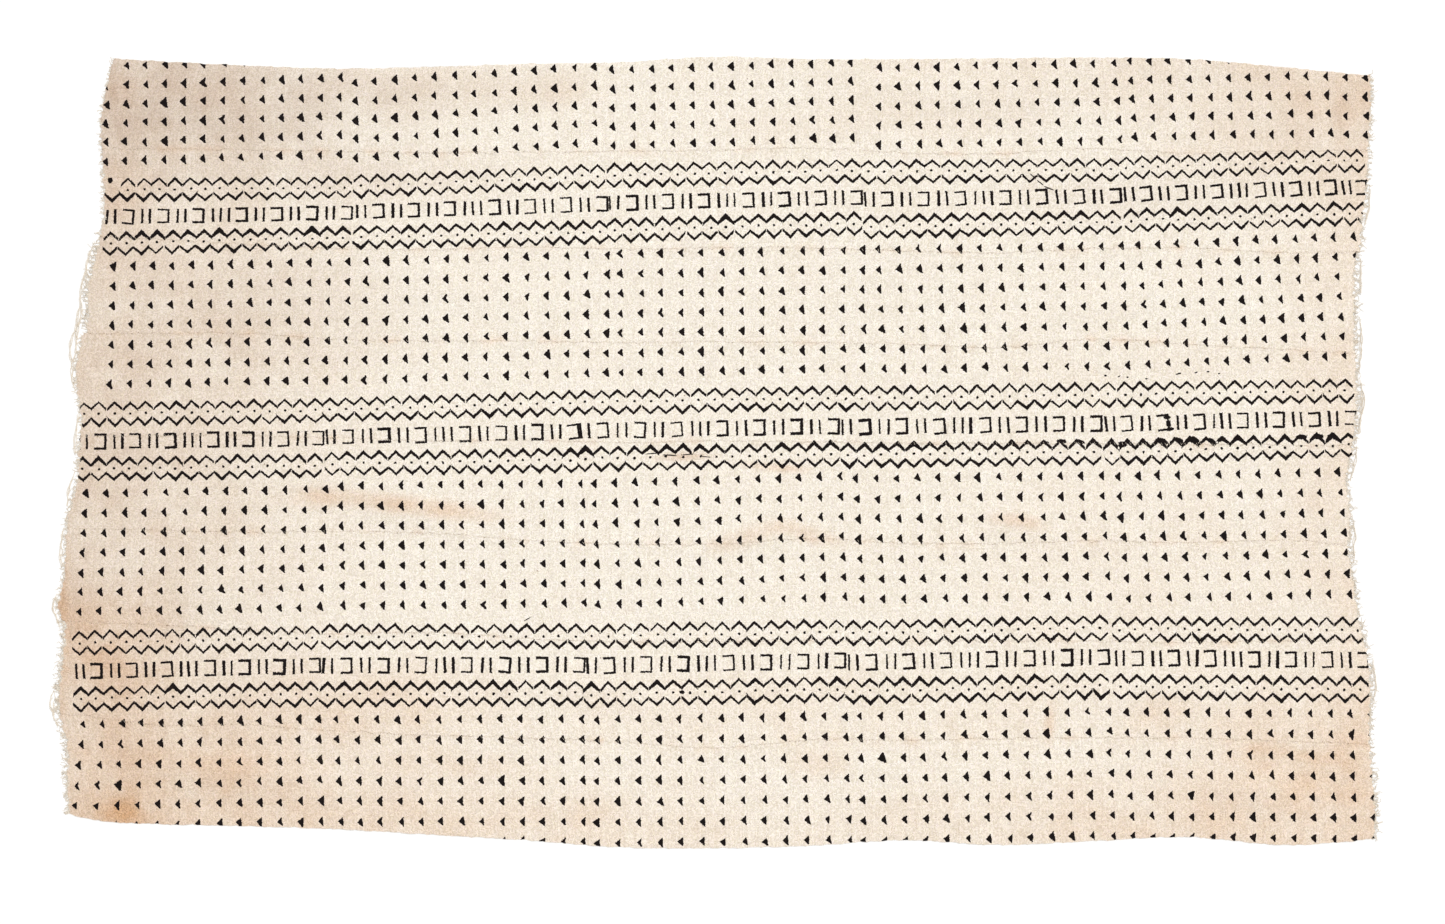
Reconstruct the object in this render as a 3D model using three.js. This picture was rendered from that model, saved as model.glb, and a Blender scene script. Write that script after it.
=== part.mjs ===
import * as THREE from "three";

// A mud cloth lying face up and open: eight narrow hand-woven cotton strips sewn edge to edge, with
// raw frayed ends. Millimetres, X along the strips, Y across them, Z up from the surface it lies on.

// Driving sizes
const CLOTH_THICKNESS = 1.6;
const SEAM_GAP = 0.3; // between two strips, and between a strip and its fringe's backing
const STATIONS = 48; // steps along a strip
const ROWS = 3; // steps across a strip
const HALF_LENGTH = 830; // where a strip's ends lie, roughly
const CENTRE = { x: 1.329, y: -0.621 }; // of the cloth's outline, set on the origin

const FRINGE = {
  backing: 4, // width of the woven edge that holds the loose yarns
  thickness: 1.2,
  strands: 16, // at each end of each strip
  rootWidth: 2.2,
  tipWidth: 1.2,
  shortest: 0.55, // of the strip's fringe length
  lean: 1.6, // the most that a tip lies to one side of its root
};

const COTTON = { color: 0xefe4d4, roughness: 0.95, metalness: 0 };
const LOOSE_YARN = { color: 0xe2d3bd, roughness: 1, metalness: 0 };

// Reads rows of numbers as objects with the named columns.
function table(columns, ...rows) {
  return rows.map((row) => Object.fromEntries(columns.map((name, k) => [name, row[k]])));
}

// Where the long edges and the seams lie across the cloth, at places along it.
const LONG_LINES = ["top", "seam1", "seam2", "seam3", "seam4", "seam5", "seam6", "seam7", "bottom"];
const LONG_EDGES = table(
  ["along", ...LONG_LINES],
  [-850, 501, 382, 277, 151, 20, -97, -213, -333, -450],
  [-790, 501, 384, 274, 151, 20, -97, -217, -336, -467],
  [-720, 497, 385, 271, 150, 21, -99, -219, -346, -472],
  [-600, 491, 384, 264, 151, 21, -102, -226, -347, -475],
  [-480, 487, 382, 258, 143, 18, -101, -231, -354, -479],
  [-360, 489, 380, 257, 141, 14, -103, -229, -360, -486],
  [-240, 493, 381, 260, 141, 15, -112, -237, -363, -493],
  [-120, 495, 382, 258, 139, 12, -117, -241, -368, -502],
  [0, 502, 383, 259, 140, 14, -117, -241, -376, -503],
  [120, 499, 386, 259, 139, 13, -110, -239, -366, -500],
  [240, 499, 380, 255, 137, 11, -116, -240, -366, -493],
  [360, 500, 379, 253, 133, 11, -116, -240, -364, -499],
  [480, 501, 385, 258, 143, 11, -113, -240, -363, -494],
  [600, 499, 380, 259, 137, 10, -115, -242, -363, -489],
  [720, 489, 382, 253, 130, 9, -112, -240, -367, -499],
  [800, 481, 383, 254, 126, 8, -117, -239, -370, -495],
  [850, 477, 384, 254, 125, 8, -118, -239, -373, -489],
);

// How far the frayed ends reach along the cloth, at places across it.
const ENDS = table(
  ["across", "left", "right"],
  [-510, -822, 842],
  [-490, -822, 843],
  [-455, -827, 844],
  [-419, -829, 841],
  [-373, -829, 837],
  [-338, -838, 837],
  [-311, -841, 838],
  [-265, -836, 835],
  [-220, -833, 825],
  [-194, -839, 821],
  [-165, -832, 817],
  [-119, -829, 810],
  [-86, -827, 812],
  [-61, -820, 810],
  [-34, -814, 807],
  [4, -812, 814],
  [43, -808, 819],
  [66, -812, 820],
  [108, -815, 819],
  [141, -808, 819],
  [179, -803, 819],
  [206, -804, 819],
  [232, -798, 819],
  [267, -789, 824],
  [291, -780, 826],
  [340, -780, 832],
  [384, -782, 834],
  [427, -782, 837],
  [465, -775, 837],
  [510, -764, 836],
);

// The strips from the top down, with the length of the loose yarns at each end.
const STRIPS = table(
  ["name", "upper", "lower", "leftYarn", "rightYarn"],
  ["strip_1", "top", "seam1", 3, 5],
  ["strip_2", "seam1", "seam2", 4, 5],
  ["strip_3", "seam2", "seam3", 8, 8],
  ["strip_4", "seam3", "seam4", 4, 6],
  ["strip_5", "seam4", "seam5", 5, 6],
  ["strip_6", "seam5", "seam6", 5, 7],
  ["strip_7", "seam6", "seam7", 8, 6],
  ["strip_8", "seam7", "bottom", 7, 6],
);

// Low ripples that the cloth keeps where it doesn't lie quite flat. long and wide are half sizes,
// and turn is in degrees from the strips' direction.
const RIPPLES = table(
  ["along", "across", "long", "wide", "turn", "lift"],
  [-640, 436, 130, 44, -10, 4.0],
  [-380, 470, 120, 34, 6, 2.6],
  [300, 455, 170, 40, -4, 2.4],
  [745, 428, 60, 34, 80, 3.0],
  [-690, 200, 90, 42, 72, 3.4],
  [-300, 205, 150, 38, -6, 2.0],
  [520, 196, 150, 40, 9, 2.6],
  [-368, -80, 130, 34, -11, 3.0],
  [70, -108, 100, 30, 4, 2.4],
  [384, -92, 76, 30, -8, 2.2],
  [-660, -180, 120, 46, 20, 3.6],
  [-150, -300, 170, 40, -5, 2.4],
  [560, -290, 150, 44, 7, 3.0],
  [-600, -412, 170, 42, -5, 4.4],
  [425, -420, 60, 32, 84, 2.8],
  [690, -430, 100, 38, -9, 4.0],
);

const mix = THREE.MathUtils.lerp;

// A smooth line through one column of a table, with no kink at its rows.
function smoothLine(rows, key, column) {
  const last = rows.length - 1;
  const slope = (k) => {
    const [before, after] = [rows[Math.max(k - 1, 0)], rows[Math.min(k + 1, last)]];
    return (after[column] - before[column]) / (after[key] - before[key]);
  };
  return (at) => {
    let k = 0;
    while (k < last - 1 && at > rows[k + 1][key]) k++;
    const span = rows[k + 1][key] - rows[k][key];
    const t = THREE.MathUtils.clamp((at - rows[k][key]) / span, 0, 1);
    const rise = t * t * (3 - 2 * t);
    const leave = t * (1 - t) * (1 - t);
    const arrive = t * t * (t - 1);
    return (
      mix(rows[k][column], rows[k + 1][column], rise) +
      span * (leave * slope(k) + arrive * slope(k + 1))
    );
  };
}

const longLine = Object.fromEntries(
  LONG_LINES.map((name) => [name, smoothLine(LONG_EDGES, "along", name)]),
);
const leftEnd = smoothLine(ENDS, "across", "left");
const rightEnd = smoothLine(ENDS, "across", "right");

// Height of the cloth's underside over the surface. Each ripple is a soft hump that ends level.
function lift(x, y) {
  let height = 0;
  for (const r of RIPPLES) {
    const turn = THREE.MathUtils.degToRad(r.turn);
    const [dx, dy] = [x - r.along, y - r.across];
    const lengthwise = (dx * Math.cos(turn) + dy * Math.sin(turn)) / r.long;
    const crosswise = (dy * Math.cos(turn) - dx * Math.sin(turn)) / r.wide;
    const away = Math.min(Math.hypot(lengthwise, crosswise), 1);
    height += r.lift * (0.5 + 0.5 * Math.cos(Math.PI * away));
  }
  return height;
}

// A place on a strip: u runs from its left end to its right, v from its lower edge to its upper.
// inset is how far its two ends stay inside the reach of the frayed ends.
function placeOn(strip, u, v, inset) {
  let x = mix(-HALF_LENGTH, HALF_LENGTH, u);
  let y = 0;
  for (let pass = 0; pass < 4; pass++) {
    const low = longLine[strip.lower](x) + SEAM_GAP / 2;
    const high = longLine[strip.upper](x) - SEAM_GAP / 2;
    y = mix(low, high, v);
    x = mix(leftEnd(y) + inset.left, rightEnd(y) - inset.right, u);
  }
  return { x: x - CENTRE.x, y: y - CENTRE.y };
}

// A strip as one closed sheet: an upper and a lower grid of points, joined round the rim.
function stripGeometry(strip) {
  const edge = FRINGE.backing + SEAM_GAP;
  const inset = { left: strip.leftYarn + edge, right: strip.rightYarn + edge };
  const points = [];
  for (const thickness of [0, CLOTH_THICKNESS]) {
    for (let s = 0; s <= STATIONS; s++) {
      for (let r = 0; r <= ROWS; r++) {
        const { x, y } = placeOn(strip, s / STATIONS, r / ROWS, inset);
        points.push(x, y, lift(x + CENTRE.x, y + CENTRE.y) + thickness);
      }
    }
  }
  const layer = (STATIONS + 1) * (ROWS + 1);
  const at = (s, r, upper) => (upper ? layer : 0) + s * (ROWS + 1) + r;
  const faces = [];
  const quad = (a, b, c, d) => faces.push(a, b, c, a, c, d);
  for (let s = 0; s < STATIONS; s++) {
    for (let r = 0; r < ROWS; r++) {
      quad(at(s, r, true), at(s + 1, r, true), at(s + 1, r + 1, true), at(s, r + 1, true));
      quad(at(s, r, false), at(s, r + 1, false), at(s + 1, r + 1, false), at(s + 1, r, false));
    }
    quad(at(s, 0, false), at(s + 1, 0, false), at(s + 1, 0, true), at(s, 0, true));
    quad(at(s + 1, ROWS, false), at(s, ROWS, false), at(s, ROWS, true), at(s + 1, ROWS, true));
  }
  for (let r = 0; r < ROWS; r++) {
    quad(at(0, r + 1, false), at(0, r, false), at(0, r, true), at(0, r + 1, true));
    quad(
      at(STATIONS, r, false),
      at(STATIONS, r + 1, false),
      at(STATIONS, r + 1, true),
      at(STATIONS, r, true),
    );
  }
  const geometry = new THREE.BufferGeometry();
  geometry.setAttribute("position", new THREE.Float32BufferAttribute(points, 3));
  geometry.setIndex(faces);
  geometry.computeVertexNormals();
  return geometry;
}

// A repeatable run of numbers between 0 and 1.
function randomRun(seed) {
  let state = seed;
  return () => {
    state = (state * 1664525 + 1013904223) % 4294967296;
    return state / 4294967296;
  };
}

// The frayed end of a strip: a narrow woven edge with loose yarns that lie flat on the surface.
function fringeGeometry(strip, side, seed) {
  const u = side === "left" ? 0 : 1;
  const outward = side === "left" ? -1 : 1;
  const yarn = side === "left" ? strip.leftYarn : strip.rightYarn;
  const draw = randomRun(seed);
  const onLine = (v, inset) => placeOn(strip, u, v, { left: inset, right: inset });
  const outline = [];
  for (let r = 0; r <= ROWS; r++) {
    const { x, y } = onLine(r / ROWS, yarn + FRINGE.backing);
    outline.push(new THREE.Vector2(x, y));
  }
  const corner = onLine(1, yarn);
  outline.push(new THREE.Vector2(corner.x, corner.y));
  for (let k = FRINGE.strands - 1; k >= 0; k--) {
    const root = onLine((k + 0.5) / FRINGE.strands, yarn);
    const length = yarn * mix(FRINGE.shortest, 1, draw());
    const lean = FRINGE.lean * (2 * draw() - 1);
    for (const [out, up] of [
      [0, FRINGE.rootWidth / 2],
      [length, lean + FRINGE.tipWidth / 2],
      [length, lean - FRINGE.tipWidth / 2],
      [0, -FRINGE.rootWidth / 2],
    ])
      outline.push(new THREE.Vector2(root.x + outward * out, root.y + up));
  }
  const end = onLine(0, yarn);
  outline.push(new THREE.Vector2(end.x, end.y));
  return new THREE.ExtrudeGeometry(new THREE.Shape(outline), {
    depth: FRINGE.thickness,
    bevelEnabled: false,
    steps: 1,
  });
}

function addMesh(parent, name, geometry, look) {
  const mesh = new THREE.Mesh(geometry, new THREE.MeshStandardMaterial(look));
  mesh.name = name;
  parent.add(mesh);
}

const mudCloth = new THREE.Group();
STRIPS.forEach((strip, k) => {
  addMesh(mudCloth, strip.name, stripGeometry(strip), COTTON);
  for (const side of ["left", "right"]) {
    const seed = 101 + 2 * k + (side === "left" ? 0 : 1);
    addMesh(mudCloth, `fringe_${side}_${k + 1}`, fringeGeometry(strip, side, seed), LOOSE_YARN);
  }
});

export default mudCloth;
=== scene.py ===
"""A mud cloth lying face up: eight hand-woven cotton strips, sewn edge to edge and stencilled.

Lengths in the tables are millimetres about the middle of the cloth's outline, as the solids
have them: X runs along the strips, Y across them and Z up. Meshes are in metres.
"""

import logging
import math
from collections.abc import Callable
from dataclasses import dataclass
from enum import Enum
from functools import partial

import bpy
import numpy as np
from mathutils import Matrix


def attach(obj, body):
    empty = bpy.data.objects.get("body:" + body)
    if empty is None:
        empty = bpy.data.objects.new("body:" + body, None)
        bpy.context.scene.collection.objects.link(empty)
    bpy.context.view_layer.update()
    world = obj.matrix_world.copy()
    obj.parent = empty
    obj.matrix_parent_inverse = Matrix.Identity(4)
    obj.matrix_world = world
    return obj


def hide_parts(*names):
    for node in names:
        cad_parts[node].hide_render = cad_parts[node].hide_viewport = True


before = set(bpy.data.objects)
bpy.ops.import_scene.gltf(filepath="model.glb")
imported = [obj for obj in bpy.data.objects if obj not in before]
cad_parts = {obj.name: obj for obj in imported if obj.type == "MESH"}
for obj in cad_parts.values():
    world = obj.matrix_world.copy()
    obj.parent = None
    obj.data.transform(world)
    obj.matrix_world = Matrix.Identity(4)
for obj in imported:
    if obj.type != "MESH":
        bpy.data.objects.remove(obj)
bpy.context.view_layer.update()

LOG = logging.getLogger("mud_cloth")
MM = 0.001
BODY = "root"
CENTRE = (1.329, -0.621)  # of the tables' outline, set on the frame's origin
CLOTH_THICKNESS = 1.6
SEAM_GAP = 0.012  # the sewing draws the strips closer than their solids lie
HALF_LENGTH = 830.0
CELL = 3.5  # size of one cell of a strip's mesh
STRIP_WIDTH = 124.0  # in the weave's own measure

MIX = "ShaderNodeMix"
NOISE = "ShaderNodeTexNoise"
RANGE = "ShaderNodeMapRange"
COMBINE = "ShaderNodeCombineXYZ"
SEPARATE = "ShaderNodeSeparateXYZ"
AddNode = Callable[..., bpy.types.Node]  # add_node, bound to a tree
Value = bpy.types.Node | bpy.types.NodeSocket | float


def table(columns: str, *rows: tuple) -> dict[str, np.ndarray]:
    """Reads rows of numbers as named columns.

    Args:
        columns: the columns' names, with spaces between.
        rows: one tuple for each row.

    Returns:
        An array for each column's name.
    """
    return {name: np.array(column) for name, column in zip(columns.split(), zip(*rows))}


# Where the long edges and the seams lie across the cloth, at places along it.
LONG_EDGES = table(
    "along top seam1 seam2 seam3 seam4 seam5 seam6 seam7 bottom",
    (-850, 501, 382, 277, 151, 20, -97, -213, -333, -450),
    (-790, 501, 384, 274, 151, 20, -97, -217, -336, -467),
    (-720, 497, 385, 271, 150, 21, -99, -219, -346, -472),
    (-600, 491, 384, 264, 151, 21, -102, -226, -347, -475),
    (-480, 487, 382, 258, 143, 18, -101, -231, -354, -479),
    (-360, 489, 380, 257, 141, 14, -103, -229, -360, -486),
    (-240, 493, 381, 260, 141, 15, -112, -237, -363, -493),
    (-120, 495, 382, 258, 139, 12, -117, -241, -368, -502),
    (0, 502, 383, 259, 140, 14, -117, -241, -376, -503),
    (120, 499, 386, 259, 139, 13, -110, -239, -366, -500),
    (240, 499, 380, 255, 137, 11, -116, -240, -366, -493),
    (360, 500, 379, 253, 133, 11, -116, -240, -364, -499),
    (480, 501, 385, 258, 143, 11, -113, -240, -363, -494),
    (600, 499, 380, 259, 137, 10, -115, -242, -363, -489),
    (720, 489, 382, 253, 130, 9, -112, -240, -367, -499),
    (800, 481, 383, 254, 126, 8, -117, -239, -370, -495),
    (850, 477, 384, 254, 125, 8, -118, -239, -373, -489),
)

# How far the frayed ends reach along the cloth, at places across it.
ENDS = table(
    "across left right",
    (-510, -822, 842),
    (-490, -822, 843),
    (-455, -827, 844),
    (-419, -829, 841),
    (-373, -829, 837),
    (-338, -838, 837),
    (-311, -841, 838),
    (-265, -836, 835),
    (-220, -833, 825),
    (-194, -839, 821),
    (-165, -832, 817),
    (-119, -829, 810),
    (-86, -827, 812),
    (-61, -820, 810),
    (-34, -814, 807),
    (4, -812, 814),
    (43, -808, 819),
    (66, -812, 820),
    (108, -815, 819),
    (141, -808, 819),
    (179, -803, 819),
    (206, -804, 819),
    (232, -798, 819),
    (267, -789, 824),
    (291, -780, 826),
    (340, -780, 832),
    (384, -782, 834),
    (427, -782, 837),
    (465, -775, 837),
    (510, -764, 836),
)

# Low ripples that the cloth keeps. long and wide are half sizes, turn is in degrees.
RIPPLES = table(
    "along across long wide turn lift",
    (-640, 436, 130, 44, -10, 4.0),
    (-380, 470, 120, 34, 6, 2.6),
    (300, 455, 170, 40, -4, 2.4),
    (745, 428, 60, 34, 80, 3.0),
    (-690, 200, 90, 42, 72, 3.4),
    (-300, 205, 150, 38, -6, 2.0),
    (520, 196, 150, 40, 9, 2.6),
    (-368, -80, 130, 34, -11, 3.0),
    (70, -108, 100, 30, 4, 2.4),
    (384, -92, 76, 30, -8, 2.2),
    (-660, -180, 120, 46, 20, 3.6),
    (-150, -300, 170, 40, -5, 2.4),
    (560, -290, 150, 44, 7, 3.0),
    (-600, -412, 170, 42, -5, 4.4),
    (425, -420, 60, 32, 84, 2.8),
    (690, -430, 100, 38, -9, 4.0),
)

# Soft stains: tan from wear and mud, and grey, heaviest over the left half and at the top-left corner.
# Sizes as for the ripples.
STAINS = table(
    "along across long wide turn tan grey",
    (-800, 470, 540, 190, -6, 0.04, 0.62),
    (-950, 60, 640, 900, 0, 0.24, 0.46),
    (800, 480, 420, 240, -8, 0.26, 0.16),
    (330, 500, 420, 110, 0, 0.08, 0.04),
    (-760, -440, 560, 230, 6, 0.46, 0.12),
    (-260, -490, 520, 130, 0, 0.22, 0.0),
    (330, -490, 460, 110, 0, 0.14, 0.0),
    (800, -440, 420, 230, 8, 0.46, 0.0),
    (870, 60, 230, 700, 0, 0.25, 0.0),
    (560, -160, 420, 260, 0, 0.07, 0.0),
    (440, -455, 280, 100, 0, 0.10, 0.0),
    (-400, -66, 190, 20, -7, 0.48, 0.06),
    (40, -108, 84, 20, 16, 0.28, 0.04),
    (120, -104, 74, 18, -14, 0.26, 0.04),
    (384, -88, 66, 15, -8, 0.30, 0.03),
    (78, -20, 66, 9, -4, 0.35, 0.00),
    (-40, -6, 56, 9, 2, 0.46, 0.30),
    (794, 428, 60, 16, 90, 0.10, 0.12),
    (737, -384, 90, 15, -8, 0.28, 0.03),
    (425, -345, 46, 11, 86, 0.32, 0.02),
    (-640, -390, 190, 24, -4, 0.06, 0.0),
    (-560, 180, 260, 140, 0, 0.06, 0.16),
    (500, 100, 260, 60, 4, 0.06, 0.02),
    (200, 420, 320, 40, 2, 0.08, 0.03),
    (-830, -180, 16, 260, 0, 0.34, 0.0),
    (-812, 250, 14, 260, 0, 0.26, 0.0),
    (840, 40, 9, 230, 0, 0.34, 0.0),
    (-365, 462, 240, 60, 0, 0.10, 0.16),
    (-420, 350, 250, 55, 0, 0.04, 0.16),
    (-755, 330, 70, 60, 0, 0.28, 0.08),
    (-755, 462, 40, 50, 0, 0.24, 0.06),
    (-755, 0, 60, 40, 0, 0.08, 0.18),
    (-770, -245, 130, 110, 0, 0.50, 0.06),
    (-520, -60, 60, 20, -4, 0.26, 0.0),
    (-420, -310, 220, 80, 0, 0.18, 0.0),
    (100, -330, 900, 90, 0, 0.12, 0.0),
    (-330, -395, 120, 32, -3, 0.24, 0.0),
    (130, -398, 60, 30, 0, 0.22, 0.0),
    (567, -331, 60, 40, 0, 0.18, 0.0),
    (676, -398, 60, 40, 0, 0.16, 0.0),
    (-755, -465, 50, 36, 0, 0.50, 0.0),
    (-200, -463, 80, 30, 0, 0.16, 0.0),
    (560, 325, 380, 60, 0, 0.0, 0.13),
    (390, 440, 140, 60, 0, 0.0, 0.09),
    (-200, 461, 80, 40, 0, 0.12, 0.08),
    (-525, 430, 70, 80, 0, 0.0, 0.14),
)

# The printed fields of wedges: the first and last mark of a block's lead row, its columns, the
# pitch of its rows, how far a row steps along from the one above at both ends, and how many rows
# lie above the lead row.
FIELDS = table(
    "start across end end_across columns pitch step end_step above",
    (-774.4, 368.9, -477.3, 378.7, 13, 24.1, -0.5, -0.4, 6),
    (-455.6, 373.5, -151.7, 393.8, 13, 24.0, 0.4, 0.5, 6),
    (-129.0, 389.0, 174.5, 399.4, 13, 24.0, 0.5, 0.5, 6),
    (208.3, 390.2, 515.0, 396.8, 13, 24.4, 0.0, 2.4, 6),
    (532.8, 400.5, 781.6, 405.8, 11, 24.0, 1.6, 1.8, 6),
    (801.6, 403.6, 827.0, 402.9, 2, 24.0, 0.5, 0.5, 6),
    (-764.0, 235.6, -465.5, 241.6, 13, 24.9, -0.8, -0.7, 0),
    (-442.8, 242.3, -137.2, 250.6, 13, 25.0, -0.3, 0.0, 0),
    (-119.9, 251.5, 187.7, 257.0, 13, 25.1, 0.0, 0.1, 0),
    (207.3, 257.2, 516.4, 261.9, 13, 25.3, 1.1, 1.3, 0),
    (537.7, 262.3, 810.6, 274.1, 12, 25.0, 2.1, 2.3, 0),
    (-799.2, -52.9, -494.7, -47.0, 13, 25.0, -1.3, -1.2, 0),
    (-475.2, -43.3, -170.0, -39.6, 13, 25.3, 0.4, 0.7, 0),
    (-154.0, -40.4, 158.7, -30.5, 13, 25.5, 1.0, 1.0, 0),
    (178.8, -33.8, 490.1, -30.2, 13, 25.5, 1.5, 1.7, 0),
    (511.6, -30.9, 791.6, -25.3, 12, 25.8, 2.3, 2.4, 0),
    (-803.2, -346.1, -503.3, -339.0, 13, 25.9, -2.5, 0.7, 0),
    (-481.2, -339.5, -168.3, -339.0, 13, 26.0, 1.2, 0.3, 0),
    (-149.9, -339.7, 165.1, -335.4, 13, 26.2, 0.0, 1.0, 0),
    (184.4, -335.8, 499.7, -328.7, 13, 26.4, 0.8, 1.1, 0),
    (522.3, -330.0, 833.8, -332.7, 13, 26.4, 1.4, 0.7, 0),
)
FAN = 0.75  # how soon along a block its rows' step changes
FIELD_ROWS = 7
FAR_OUTSIDE = 50.0  # from a mark, where there is none

# The printed bands: where a block of the stencil starts, its first zigzag's peaks and its brackets'
# middle at both ends, its stretch along the cloth, the share of it that was printed, how far its
# foot lies right of its head at both ends for each millimetre down, the chevrons that its first
# zigzag lacks at the start and how bold its third zigzag is.
BANDS = table(
    "start peak end_peak middle end_middle stretch share lean end_lean bare bold",
    (-771.9, 346.3, 348.1, 298.6, 304.2, 0.978, 1.0, -0.037, -0.028, 1, 0.7),
    (-454.9, 350.0, 364.5, 304.8, 315.2, 1.000, 1.0, -0.018, 0.046, 0, 0.25),
    (-133.1, 364.5, 370.5, 316.2, 323.9, 1.005, 1.0, 0.009, 0.028, 0, 0.35),
    (190.7, 369.0, 371.4, 320.6, 325.4, 1.021, 1.0, 0.046, 0.055, 0, 0.4),
    (520.9, 373.6, 382.5, 327.0, 335.9, 0.982, 0.86, 0.083, 0.100, 0, 0.3),
    (798.0, 382.5, 383.0, 335.9, 336.0, 0.860, 0.14, 0.100, 0.110, 0, 0.3),
    (-807.5, 61.0, 66.3, 12.7, 17.8, 0.976, 1.0, -0.009, -0.018, 0, 0.2),
    (-493.4, 66.8, 76.5, 19.1, 26.2, 1.008, 1.0, 0.037, 0.028, 0, 0.2),
    (-170.5, 76.7, 82.6, 26.7, 33.0, 1.031, 1.0, 0.000, 0.042, 0, 0.6),
    (162.3, 81.5, 86.7, 31.4, 36.2, 1.033, 1.0, 0.055, 0.018, 0, 0.5),
    (496.5, 87.0, 90.9, 35.7, 43.4, 0.998, 1.0, 0.055, 0.046, 0, 0.7),
    (-811.6, -229.0, -221.8, -278.6, -271.3, 0.973, 1.0, 0.031, -0.028, 0, 0.5),
    (-496.6, -220.2, -220.0, -271.3, -270.1, 1.041, 1.0, -0.042, -0.009, 0, 0.45),
    (-162.1, -220.0, -214.1, -271.3, -264.7, 1.031, 1.0, -0.006, 0.009, 0, 0.3),
    (170.2, -215.9, -208.7, -267.3, -259.9, 1.040, 1.0, 0.009, 0.018, 0, 0.3),
    (509.4, -211.1, -211.8, -261.6, -264.2, 1.008, 1.0, 0.009, 0.042, 0, 0.25),
)
BAND_BLOCK = 322.0
BAND_DROP = 48.6  # from the first zigzag's peaks to the brackets' middle
CHEVRON_PITCH = 20.1
FIRST_CHEVRON = 5.5
BAND_FIGURES = "||]||]||]|||]||]||]||]"
FIGURE_GAP = {"||": 10.2, "|]": 17.0, "]|": 18.5}

# Blots and runs of ink outside the stencil: half sizes and turn.
BLOTS = table(
    "along across long wide turn",
    (-768, 345, 3.0, 3.6, 0),
    (-812, 54, 1.4, 2.0, 0),
    (-238, -212, 5.0, 0.6, 30),
    (-80, -2, 8.0, 0.7, 4),
    (-58, -4, 9.0, 0.8, -3),
    (-42, -305, 3.4, 2.2, 0),
    (-33, -3, 9.0, 0.7, 5),
    (-12, -6, 6.0, 0.6, -6),
    (377, 11.6, 4.8, 1.8, 0),
    (398, 11.4, 4.4, 1.8, -8),
    (404, 350, 5.0, 0.7, -42),
    (413, 342, 5.5, 0.7, -38),
    (424, 335, 6.5, 0.8, -22),
    (434, 330, 2.0, 0.8, -60),
    (419, 11.8, 4.8, 1.8, 0),
    (440, 13.4, 6.0, 2.8, 0),
    (464, 13.0, 5.8, 2.4, -20),
    (496, 97, 1.6, 1.2, 0),
    (513, 96, 2.4, 0.7, 30),
    (517, 9.6, 6.2, 3.8, 6),
    (524, 95, 1.3, 1.0, 0),
    (548, 93, 1.8, 0.8, 0),
    (570, 13.8, 6.4, 2.6, -34),
    (574, 44, 4.6, 2.3, -8),
    (576, 36, 2.6, 9.0, 4),
    (578, 29, 5.4, 2.2, 8),
    (589, 99.5, 3.4, 0.9, 15),
    (590, 14.8, 6.0, 2.7, -26),
    (610, 16.0, 6.0, 2.7, -28),
    (611, 101, 2.2, 0.9, 20),
    (626, 102, 1.8, 0.9, 0),
    (632, 13.4, 5.8, 2.4, -34),
    (640, 99.5, 1.3, 0.8, 8),
    (745, 19.2, 6.6, 3.1, 0),
    (766, 19.4, 7.0, 3.4, 0),
    (784, 20.0, 5.8, 3.0, -8),
)


@dataclass(frozen=True)
class StripRow:
    """One strip: its name, the lines that bound it and the length of its ends' loose yarns."""

    number: int
    upper: str
    lower: str
    left_yarn: float
    right_yarn: float

    @property
    def node(self) -> str:
        """The solid that this strip's sheet stands for."""
        return f"strip_{self.number}"


STRIPS = (
    StripRow(1, "top", "seam1", 3, 5),
    StripRow(2, "seam1", "seam2", 4, 5),
    StripRow(3, "seam2", "seam3", 8, 8),
    StripRow(4, "seam3", "seam4", 4, 6),
    StripRow(5, "seam4", "seam5", 5, 6),
    StripRow(6, "seam5", "seam6", 5, 7),
    StripRow(7, "seam6", "seam7", 8, 6),
    StripRow(8, "seam7", "bottom", 7, 6),
)


class End(Enum):
    """The two ends of a strip, as the way that its loose yarns point."""

    LEFT = -1
    RIGHT = 1


class Figure(Enum):
    """What a stencilled mark is, as the number that the print's material reads."""

    NONE = 0
    WEDGE = 1
    CHEVRON = 2
    CHEVRON_WITH_DOT = 3
    BAR = 4
    BRACKET = 5
    BLOT = 6


# The room that a mark needs in its own frame: half its width, and from its foot to its head.
ROOM = {
    Figure.WEDGE: (8.5, -9.5, 9.5),
    Figure.CHEVRON: (13.0, -8.0, 8.5),
    Figure.CHEVRON_WITH_DOT: (13.0, -13.8, 8.5),
    Figure.BAR: (5.8, -14.0, 14.0),
    Figure.BRACKET: (12.0, -14.5, 14.5),
}


def smooth_line(at: np.ndarray, value: np.ndarray, places: np.ndarray) -> np.ndarray:
    """Reads a smooth line through a table's column, with no kink at its rows.

    Args:
        at: the rows' places, rising.
        value: the column's values there.
        places: where the line is read.

    Returns:
        The line's values at places.
    """
    places = np.asarray(places, float)
    slope = np.concatenate(
        (
            [(value[1] - value[0]) / (at[1] - at[0])],
            (value[2:] - value[:-2]) / (at[2:] - at[:-2]),
            [(value[-1] - value[-2]) / (at[-1] - at[-2])],
        )
    )
    k = np.clip(np.searchsorted(at, places) - 1, 0, len(at) - 2)
    span = at[k + 1] - at[k]
    t = np.clip((places - at[k]) / span, 0.0, 1.0)
    rise = t * t * (3 - 2 * t)
    bend = t * (1 - t) ** 2 * slope[k] + t * t * (t - 1) * slope[k + 1]
    return value[k] * (1 - rise) + value[k + 1] * rise + span * bend


def long_line(name: str, along: np.ndarray) -> np.ndarray:
    """Where a long edge or seam lies across the cloth."""
    return smooth_line(LONG_EDGES["along"], LONG_EDGES[name], along)


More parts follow.
